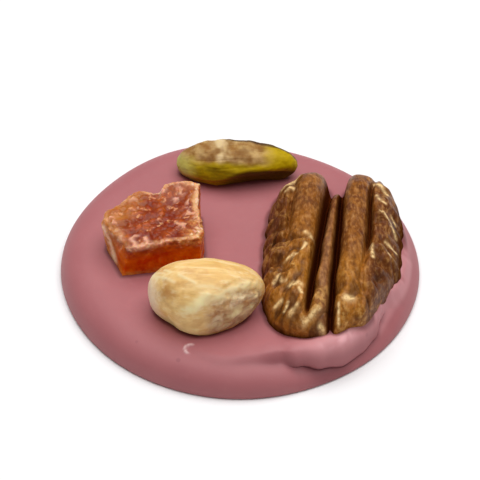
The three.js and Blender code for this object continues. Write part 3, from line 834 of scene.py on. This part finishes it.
# A small curled shaving near the rim: the middle and radius of its arc, between which angles it runs,
# its height and width, and how wide it is pale
SHAVING = dict(middle=(-6.1, -17.9), radius=0.75, start=80, end=235, height=0.14, width=0.14, pale=0.16)


def shaving_distance(x, y):
    dx, dy = x - SHAVING["middle"][0], y - SHAVING["middle"][1]
    angle = np.degrees(np.arctan2(dy, dx)) % 360
    nearest = np.radians(np.clip(angle, SHAVING["start"], SHAVING["end"]))
    return np.hypot(dx - SHAVING["radius"] * np.cos(nearest), dy - SHAVING["radius"] * np.sin(nearest))


def roll_masks(angle, from_lip, rolled, uneven):
    """Painted light and a painted highlight along the roll's crest, and painted shade in the crease
    under its lip.
    """
    ring_rows, edge_rows, pour_rows = DISC_ROWS
    up_the_lip = [np.zeros(ring_rows), np.arange(edge_rows) / edge_rows, np.ones(pour_rows)]
    up_the_lip = np.concatenate(up_the_lip)[:, None]
    # Painted light along the roll's crest and down its flank
    painted_crest_light = rolled * smoothstep(up_the_lip, 0.3, 1.0) * (1 - smoothstep(from_lip, 2.4, 4.0))
    painted_crest_light = painted_crest_light * lerp(0.1, 1, smoothstep(angle, -74, -60))
    # A painted highlight along the crest
    painted_gleam = painted_crest_light * smoothstep(angle, -64, -56) * bell(from_lip - 1.1, 0.7)
    painted_gleam = painted_gleam * smoothstep(uneven, -0.1, 0.5)
    # Painted shade in the crease under the lip
    line_width = lerp(1.4, 0.35, smoothstep(angle, -62, -50))
    line = rolled * bell(np.minimum(from_lip, 0), line_width) * (1 - smoothstep(up_the_lip, 0.05, 0.25))
    line = lerp(bell(from_lip + 0.4, 0.6), line, smoothstep(angle, -78, -66))
    return {"painted_crest_light": painted_crest_light, "painted_gleam": painted_gleam, "shaded_crease": line * np.interp(angle, *zip(*CREASE_SHADE))}


def disc_top(angle, rim):
    """The top's points in rows from the rim to the middle, masks of painted light and shade on its roll,
    and of its shaving.
    """
    inside, height = chocolate_rows(angle, rim)
    flat = ring_points(rim - inside, angle, 0)
    inset, _, roll = pour_edge(angle)
    from_lip = inside - inset
    rolled = smoothstep(roll, 0.1, 0.7)
    shaving = shaving_distance(flat[..., 0], flat[..., 1])
    waves = sum(amount * rough(flat, size, seed, 2) for amount, size, seed in DISC_WAVES)
    amount, size, seed = ROLL_RUFFLE
    ruffle = amount * rough(flat, size, seed, 2) * rolled * bell(from_lip - 1.6, 1.6)
    raised = height + waves * smoothstep(inside, 0.2, 2.5) + ruffle
    raised = raised + SHAVING["height"] * bell(shaving, SHAVING["width"])
    masks = roll_masks(angle, from_lip, rolled, rough(flat, 1.6, 41, 3))
    masks["scuff"] = bell(shaving, SHAVING["pale"])
    return xyz(flat[..., 0], flat[..., 1], np.hypot(raised, EDGE_ROUND)), masks


def disc_underside(angle, rim):
    """The rings of the underside, from its edge to the middle."""
    edge = [ring_points(rim - inside, angle, height) for inside, height in DISC_UNDER_EDGE]
    reach = rim - DISC_UNDER_EDGE[-1][0]
    shares = 1 - np.arange(1, DISC_UNDER_RINGS) / DISC_UNDER_RINGS
    return edge + [ring_points(reach * share, angle, 0) for share in shares]


def near_toppings(points, toppings, reaches):
    """How near each point is to each topping: 1 where they touch, 0 at the reach."""
    near = []
    for topping, reach in zip(toppings, reaches):
        tree = bvhtree.BVHTree.FromObject(topping, bpy.context.evaluated_depsgraph_get())
        found = [tree.find_nearest(p, reach * MM)[3] for p in (points * MM).tolist()]
        near.append(1 - np.array([reach if d is None else d / MM for d in found]) / reach)
    return near


def lap_up(top, toppings):
    """Lets the chocolate rise to the toppings. Gives masks of painted light on the lap up the pecan and
    of painted shade where the chocolate meets the toppings.
    """
    round_the_pecan = np.degrees(np.arctan2(top[:, 1] - PECAN_PLACE[1], top[:, 0] - PECAN_PLACE[0]))
    lap = np.interp(round_the_pecan, *zip(*PECAN_LAP))
    lap = lap * (1 + PECAN_LAP_RAGGED * rough(top * (1, 1, 0), 1.8, 35, 2))
    reaches = [PECAN_LAP_REACH] + 3 * [CONTACT_REACH]
    nearness = near_toppings(top, toppings, reaches)
    contact_shade = 0
    for near, rise, reach in zip(nearness, [lap, *CONTACT_RISES], reaches):
        top[:, 2] += rise * near**2
        contact_shade = np.maximum(contact_shade, 1 - (1 - near) * reach / CONTACT_REACH)
    # Painted light on the lap up the pecan
    painted_lap_light = smoothstep(nearness[0], 0.1, 0.55) * smoothstep(lap, 0.4, 0.7)
    return painted_lap_light, smoothstep(contact_shade, 0.45, 0.9) * (1 - smoothstep(lap, 0.2, 0.45))


def add_disc(toppings, material):
    angle = np.arange(DISC_SIDES) * 360 / DISC_SIDES - 180
    rim = rim_radius(angle)
    rows, masks = disc_top(angle, rim)
    top = rows.reshape(-1, 3)
    painted_lap_light, contact_shade = lap_up(top, toppings)
    # The lap up the pecan takes the same painted light as the crest
    masks["painted_crest_light"] = np.maximum(masks["painted_crest_light"].ravel(), 0.75 * painted_lap_light)
    masks["contact_shade"] = contact_shade
    under = disc_underside(angle, rim)
    rings = [*under[::-1], *top.reshape(rows.shape)]
    points = np.concatenate([*rings, [(0, 0, 0), (0, 0, DISC_THICKNESS)]])
    faces = closed_faces(len(rings), DISC_SIDES)
    below = np.zeros(len(under) * DISC_SIDES)
    masks = {label: np.concatenate([below, values.ravel(), [0, 0]]) for label, values in masks.items()}
    name = "ruby_chocolate_pour"
    return add_piece(name, "ruby_chocolate_disc", points, faces, masks, material)


# Materials


def srgb(red, green, blue):
    """A colour as it looks on a screen, from 0 to 255, as Blender's own linear values."""
    shares = np.array([red, green, blue]) / 255
    linear = np.where(shares <= 0.04045, shares / 12.92, ((shares + 0.055) / 1.055) ** 2.4)
    return (*linear.tolist(), 1.0)


def put(tree, kind, values=None, **settings):
    """A new node with its settings, each input given a value or linked to a socket."""
    node = tree.nodes.new(kind)
    for setting, value in settings.items():
        setattr(node, setting, value)
    for socket, value in (values or {}).items():
        if isinstance(value, bpy.types.NodeSocket):
            tree.links.new(value, node.inputs[socket])
        else:
            node.inputs[socket].default_value = value
    return node


def mixed(tree, share, first, second):
    """A colour between two, by a share. The node has its sockets once for each kind of value."""
    factor, first_colour, second_colour, colour = 0, 6, 7, 2
    values = {factor: share, first_colour: first, second_colour: second}
    return put(tree, "ShaderNodeMix", values, data_type="RGBA").outputs[colour]


def ranged(tree, value, low, high, to_low=0.0, to_high=1.0):
    """The value taken from one range to another, and kept inside it."""
    values = {"Value": value, "From Min": low, "From Max": high, "To Min": to_low, "To Max": to_high}
    return put(tree, "ShaderNodeMapRange", values).outputs["Result"]


def worked_out(tree, operation, first, second, **settings):
    """A number from two others."""
    values = {0: first, 1: second}
    return put(tree, "ShaderNodeMath", values, operation=operation, **settings).outputs[0]


def product(tree, first, second):
    return worked_out(tree, "MULTIPLY", first, second)


def mask(tree, name):
    return put(tree, "ShaderNodeAttribute", attribute_name=name).outputs["Fac"]


def new_group(name, inputs, output):
    """An empty node group with named sockets, and its input and output nodes."""
    group = bpy.data.node_groups.new(name, "ShaderNodeTree")
    for socket, kind in inputs.items():
        group.interface.new_socket(name=socket, in_out="INPUT", socket_type=f"NodeSocket{kind}")
    group.interface.new_socket(name=output, in_out="OUTPUT", socket_type="NodeSocketFloat")
    return group, group.nodes.new("NodeGroupInput"), group.nodes.new("NodeGroupOutput")


def soft_patches_group():
    """Soft patches: a share from 0 to 1 that changes over the surface. Sizes are in metres."""
    inputs = {"Size": "Float", "Stretch": "Vector", "Contrast": "Float"}
    group, given, result = new_group("soft_patches", inputs, "Share")
    place = put(group, "ShaderNodeTexCoord").outputs["Object"]
    values = {0: place, 1: given.outputs["Stretch"]}
    stretched = put(group, "ShaderNodeVectorMath", values, operation="MULTIPLY")
    scale = worked_out(group, "DIVIDE", 1.0, given.outputs["Size"])
    values = {"Vector": stretched.outputs[0], "Scale": scale, "Detail": 3.0, "Roughness": 0.55}
    clouds = put(group, "ShaderNodeTexNoise", values).outputs["Fac"]
    centred = worked_out(group, "SUBTRACT", clouds, 0.5)
    widened = product(group, centred, given.outputs["Contrast"])
    share = worked_out(group, "ADD", widened, 0.5, use_clamp=True)
    group.links.new(share, result.inputs["Share"])
    return group


def specks_group():
    """Small round specks thinly strewn: a mask. Sizes are in metres."""
    inputs = {"Spacing": "Float", "Amount": "Float"}
    group, given, result = new_group("specks", inputs, "Mask")
    place = put(group, "ShaderNodeTexCoord").outputs["Object"]
    scale = worked_out(group, "DIVIDE", 1.0, given.outputs["Spacing"])
    cells = put(group, "ShaderNodeTexVoronoi", {"Vector": place, "Scale": scale, "Randomness": 1.0})
    dots = ranged(group, cells.outputs["Distance"], 0.08, 0.14, 1.0, 0.0)
    drawn = put(group, "ShaderNodeSeparateColor", {0: cells.outputs["Color"]}).outputs[0]
    kept = worked_out(group, "LESS_THAN", drawn, given.outputs["Amount"])
    group.links.new(product(group, dots, kept), result.inputs["Mask"])
    return group


def patches(tree, size_mm, contrast=1.6, stretch=(1, 1, 1)):
    values = {"Size": size_mm * MM, "Stretch": stretch, "Contrast": contrast}
    return put(tree, "ShaderNodeGroup", values, node_tree=SOFT_PATCHES).outputs["Share"]


def specks(tree, spacing_mm, amount):
    values = {"Spacing": spacing_mm * MM, "Amount": amount}
    return put(tree, "ShaderNodeGroup", values, node_tree=SPECKS).outputs["Mask"]


def mottled(tree, share, first, second):
    """A colour that wanders between two screen colours."""
    return mixed(tree, share, srgb(*first), srgb(*second))


def tinted(tree, colour, tints):
    """The colour with tints laid over it in turn: a mask's name or a share, how much, and the tint."""
    for where, strength, tint in tints:
        where = mask(tree, where) if isinstance(where, str) else where
        tint = srgb(*tint) if isinstance(tint, tuple) else tint
        colour = mixed(tree, product(tree, where, strength), colour, tint)
    return colour


def broken_up(tree, name, size_mm, contrast, low, high, left):
    """A mask with soft gaps in it, where only the given share of it is left."""
    gaps = ranged(tree, patches(tree, size_mm, contrast), low, high, left)
    return product(tree, mask(tree, name), gaps)


def new_material(name):
    """An empty material and its tree."""
    material = bpy.data.materials.new(name)
    material.use_nodes = True
    material.node_tree.nodes.clear()
    return material, material.node_tree


def bumped(tree, heights, distance_mm):
    """A normal from several heights, each of them (socket, strength)."""
    normal = None
    for height, strength in heights:
        values = {"Height": height, "Strength": strength, "Distance": distance_mm * MM}
        if normal is not None:
            values["Normal"] = normal
        normal = put(tree, "ShaderNodeBump", values).outputs["Normal"]
    return normal


def finish_material(tree, values):
    surface = put(tree, "ShaderNodeBsdfPrincipled", values)
    put(tree, "ShaderNodeOutputMaterial", {"Surface": surface.outputs[0]})


def finish_food(tree, colour, roughness, shine, glow, relief, depth_mm, **others):
    """The surface of a food. Its glow is the share of light that goes in, how far each colour goes in
    as a share of a length, and that length."""
    amount, reach, scale_mm = glow
    finish_material(tree, {
        "Base Color": colour,
        "Roughness": roughness,
        "Specular IOR Level": shine,
        "Subsurface Weight": amount,
        "Subsurface Radius": reach,
        "Subsurface Scale": scale_mm * MM,
        "Normal": bumped(tree, relief, depth_mm),
        **others,
    })


def chocolate_material():
    material, tree = new_material("ruby_chocolate")
    fine = patches(tree, 1.2, 1.2)
    pits = specks(tree, 2.6, 0.12)
    colour = mottled(tree, patches(tree, 9), (169, 99, 103), (178, 108, 111))
    colour = tinted(tree, colour, [
        (ranged(tree, fine, 0.55, 0.9), 0.2, (188, 119, 121)),
        (pits, 0.35, (128, 66, 74)),
        # Painted light along the roll's crest and on the lap up the pecan
        ("painted_crest_light", 0.8, (214, 148, 151)),
        # A painted highlight on the roll's crest
        ("painted_gleam", 0.7, (240, 182, 186)),
        # Painted shade in the crease under the roll's lip
        ("shaded_crease", 0.65, (104, 50, 56)),
        # Painted shade where the chocolate meets the toppings
        ("contact_shade", 0.7, (92, 32, 30)),
        ("scuff", 0.8, (232, 200, 198)),
    ])
    roughness = ranged(tree, fine, 0, 1, 0.46, 0.58)
    relief = [(patches(tree, 0.5, 1.5), 0.1), (patches(tree, 2.5, 1.5), 0.15), (pits, -0.3)]
    finish_food(tree, colour, roughness, 0.34, (0.08, (1.0, 0.45, 0.4), 0.6), relief, 0.06)
    return material


def pecan_material():
    material, tree = new_material("pecan_skin")
    fibres = patches(tree, 0.55, 2.4, (1, 0.25, 0.6))
    streaks = patches(tree, 1.0, 2.6, (1, 0.4, 1))
    grain = patches(tree, 0.38, 2.8, (1, 0.5, 0.8))
    # A painted highlight on the tops of the knobs, broken up and kept off the dark lower right and the
    # shaded sides
    high = broken_up(tree, "high", 0.7, 3.0, 0.4, 0.75, 0)
    high = product(tree, high, ranged(tree, mask(tree, "dusk"), 0, 1, 0.55, 0.15))
    high = product(tree, high, ranged(tree, mask(tree, "shade"), 0, 1, 1.0, 0.5))
    colour = mottled(tree, patches(tree, 3.0, 2.4), (134, 76, 14), (174, 108, 34))
    colour = tinted(tree, colour, [
        (broken_up(tree, "gold", 1.8, 2.6, 0.2, 0.8, 0.2), 0.7, (182, 118, 36)),
        ("dusk", 0.8, (102, 50, 20)),
        ("shade", 0.8, (98, 46, 6)),
        ("middle", 0.7, (128, 86, 62)),
        (broken_up(tree, "tip", 2.2, 3.0, 0.3, 0.7, 0.35), 1, (108, 56, 22)),
        (ranged(tree, fibres, 0.5, 0.95), 0.5, (190, 132, 72)),
        (ranged(tree, streaks, 0.5, 0.95), 0.5, (88, 44, 12)),
        (ranged(tree, grain, 0.1, 0.45, 1, 0), 0.42, (82, 42, 14)),
        (ranged(tree, grain, 0.6, 0.95), 0.3, (208, 152, 90)),
        # The painted highlight on the knobs
        (high, 1, (232, 178, 98)),
        # Darker skin and painted shade in the creases
        ("shaded_crease", 0.8, (64, 29, 9)),
        # Painted shade at the foot of the nut, where it meets the chocolate
        ("shaded_foot", 0.85, (56, 22, 8)),
        # Darker skin and painted shade in the grooves
        ("shaded_groove", 1, (76, 29, 6)),
        # Worn skin and painted highlights, in cream strokes
        (broken_up(tree, "wear_and_highlights", 0.6, 2.6, 0.25, 0.6, 0.4), 1, (250, 212, 150)),
    ])
    roughness = ranged(tree, patches(tree, 0.8, 2.0), 0, 1, 0.3, 0.55)
    dull = worked_out(tree, "MAXIMUM", mask(tree, "shaded_groove"), mask(tree, "shaded_foot"))
    shine = ranged(tree, dull, 0, 0.6, 0.14, 0.0)
    relief = [(fibres, 0.35), (patches(tree, 0.5, 2.2), 0.4)]
    finish_food(tree, colour, roughness, shine, (0.05, (1.0, 0.5, 0.25), 0.4), relief, 0.08)
    return material


def hazelnut_material():
    material, tree = new_material("blanched_hazelnut")
    streaks = patches(tree, 1.8, 2.4, (0.2, 1, 1))
    fine = patches(tree, 0.6, 3.2, (0.15, 1, 1))
    cut = mottled(tree, patches(tree, 1.1, 4.2, (0.6, 1, 1)), (192, 142, 92), (255, 232, 190))
    colour = mottled(tree, streaks, (232, 182, 98), (246, 208, 142))
    colour = tinted(tree, colour, [
        (ranged(tree, patches(tree, 2.2, 2.6), 0.55, 0.9), 0.5, (206, 146, 78)),
        (ranged(tree, fine, 0.55, 0.9), 0.45, (254, 230, 180)),
        (ranged(tree, fine, 0.1, 0.4, 1, 0), 0.3, (204, 150, 82)),
        ("low", 0.85, (250, 224, 156)),
        ("end", 0.8, (244, 218, 190)),
        ("scratch", 0.7, (252, 228, 176)),
        ("cut", 0.8, cut),
        # Painted shade on the lower part of the flat, towards the chocolate
        ("shaded_foot", 0.75, (166, 122, 82)),
        ("rim", 0.85, (255, 232, 178)),
        ("brown", 0.6, (166, 106, 60)),
        ("chip", 0.85, (255, 234, 176)),
    ])
    relief = [(streaks, 0.15), (patches(tree, 0.35, 1.6), 0.2)]
    finish_food(tree, colour, 0.5, 0.35, (0.2, (1.0, 0.6, 0.3), 0.8), relief, 0.08)
    return material


def pistachio_material():
    material, tree = new_material("pistachio_kernel")
    streaks = patches(tree, 1.3, 2.6, (0.3, 1, 1))
    skin = mottled(tree, patches(tree, 1.6, 3.0), (148, 98, 48), (200, 164, 110))
    skin = tinted(tree, skin, [("wrinkle", 0.6, (122, 78, 40))])
    colour = mottled(tree, streaks, (116, 92, 0), (192, 162, 6))
    colour = tinted(tree, colour, [
        (broken_up(tree, "tip", 1.6, 2.6, 0.2, 0.6, 0.55), 1, (190, 158, 0)),
        ("end", 0.8, (196, 186, 100)),
        ("skin", 0.92, skin),
        ("pale", 0.75, (232, 206, 158)),
        # Painted shade on the underside, strongest under the raised end
        ("under", 0.95, (88, 60, 4)),
        ("ridge", 0.85, (62, 36, 18)),
    ])
    relief = [(streaks, 0.25), (patches(tree, 0.35, 1.8), 0.3)]
    finish_food(tree, colour, 0.5, 0.12, (0.1, (0.8, 0.9, 0.3), 0.5), relief, 0.06)
    return material


def fruit_material():
    material, tree = new_material("candied_fruit")
    low = ranged(tree, mask(tree, "low"), 0.08, 0.35)
    # A painted glow: the lower part of the fruit tinted a brighter orange, as if lit from inside
    glow = mottled(tree, patches(tree, 1.8, 3.0), (200, 56, 0), (232, 112, 0))
    # A golden tone with painted light, for the left side
    golden_and_lit = mottled(tree, patches(tree, 1.4, 3.0), (160, 80, 14), (208, 132, 58))
    crust = broken_up(tree, "crust", 0.8, 2.8, 0.2, 0.7, 0.2)
    # Pale sugar flecks over the top, partly painted glints
    sugar_flecks_and_glints = ranged(tree, patches(tree, 0.9, 2.8), 0.78, 1.0)
    sugar_flecks_and_glints = product(tree, sugar_flecks_and_glints, ranged(tree, mask(tree, "low"), 0.02, 0.12, 1.0, 0.1))
    colour = mottled(tree, patches(tree, 1.8, 3.4), (142, 44, 4), (186, 88, 20))
    colour = tinted(tree, colour, [
        # Darker fruit and painted shade in the hollows of the wrinkles
        ("shaded_hollow", 0.7, (124, 22, 8)),
        ("seam", 0.45, (110, 26, 6)),
        (low, 0.85, glow),
        ("left", 0.75, golden_and_lit),
        (sugar_flecks_and_glints, 0.6, (246, 176, 122)),
        (crust, 0.8, (222, 152, 82)),
        (broken_up(tree, "edge", 1.3, 2.6, 0.2, 0.6, 0.3), 0.9, (238, 184, 136)),
        # The pale curl and folds, partly painted highlights
        ("curl", 0.8, (244, 184, 154)),
        # Painted glints
        ("painted_glint", 0.7, (255, 220, 190)),
    ])
    roughness = ranged(tree, crust, 0, 1, 0.24, 0.5)
    shine = ranged(tree, low, 0, 1, 0.22, 0.03)
    relief = [(patches(tree, 0.4, 2.4), 0.2), (patches(tree, 1.2, 2.4), 0.5)]
    sheen = {"Sheen Weight": 0.35, "Sheen Roughness": 0.25, "Sheen Tint": srgb(255, 198, 146)}
    finish_food(tree, colour, roughness, shine, (0.5, (1.0, 0.35, 0.1), 1.2), relief, 0.12, **sheen)
    return material


# The studio: floor, light and camera, in metres

CAMERA_ELEVATION = 43
CAMERA_DISTANCE = 0.4
CAMERA_LENS = 235
CAMERA_SENSOR = 36
FLOOR_SIZE = 3.0
# The floor lies this much under the disc
FLOOR_GAP = 0.00002
SOFTBOX_PLACE = (0.04, 0.12, 0.6)
SOFTBOX_SIZE = 0.8
SOFTBOX_POWER = 4.7
ROOM_LIGHT = 0.25


def add_floor():
    material, tree = new_material("white_table")
    colour = mottled(tree, patches(tree, 60, 1.0), (245, 245, 246), (250, 250, 250))
    finish_material(tree, {"Base Color": colour, "Roughness": 0.6})
    mesh = bpy.data.meshes.new("floor")
    half = FLOOR_SIZE / 2
    corners = [(-half, -half, 0), (half, -half, 0), (half, half, 0), (-half, half, 0)]
    mesh.from_pydata(corners, [], [(0, 1, 2, 3)])
    mesh.materials.append(material)
    floor = add_object("floor", mesh)
    floor.location.z = -FLOOR_GAP


def add_softbox():
    light = bpy.data.lights.new("overhead_softbox", "AREA")
    light.shape = "DISK"
    light.size = SOFTBOX_SIZE
    light.energy = SOFTBOX_POWER
    softbox = add_object("overhead_softbox", light)
    softbox.location = SOFTBOX_PLACE
    softbox.rotation_euler = (-Vector(SOFTBOX_PLACE)).to_track_quat("-Z", "Y").to_euler()


def add_room_light():
    world = bpy.data.worlds.new("studio")
    world.use_nodes = True
    background = world.node_tree.nodes["Background"].inputs
    background["Color"].default_value = (1, 1, 1, 1)
    background["Strength"].default_value = ROOM_LIGHT
    bpy.context.scene.world = world
    bpy.context.scene.view_settings.view_transform = "Standard"


def add_camera():
    low, high = cad_box
    middle = (low + high) / 2
    tilt = math.radians(CAMERA_ELEVATION)
    back = Vector((0, -math.cos(tilt), math.sin(tilt)))
    camera = add_object("camera", bpy.data.cameras.new("camera"))
    camera.data.sensor_width = CAMERA_SENSOR
    camera.data.lens = CAMERA_LENS
    camera.location = middle + back * CAMERA_DISTANCE
    camera.rotation_euler = Euler((math.radians(90) - tilt, 0, 0))
    bpy.context.scene.camera = camera


SOFT_PATCHES = soft_patches_group()
SPECKS = specks_group()

add_camera()
add_room_light()
add_softbox()
add_floor()
ball, ball_faces = ball_grid(KERNEL_STEPS)
pecan = add_pecan(pecan_material())
hazelnut = add_hazelnut(ball, ball_faces, hazelnut_material())
pistachio = add_pistachio(ball, ball_faces, pistachio_material())
cube = add_cube(fruit_material())
add_disc([pecan, hazelnut, pistachio, cube], chocolate_material())
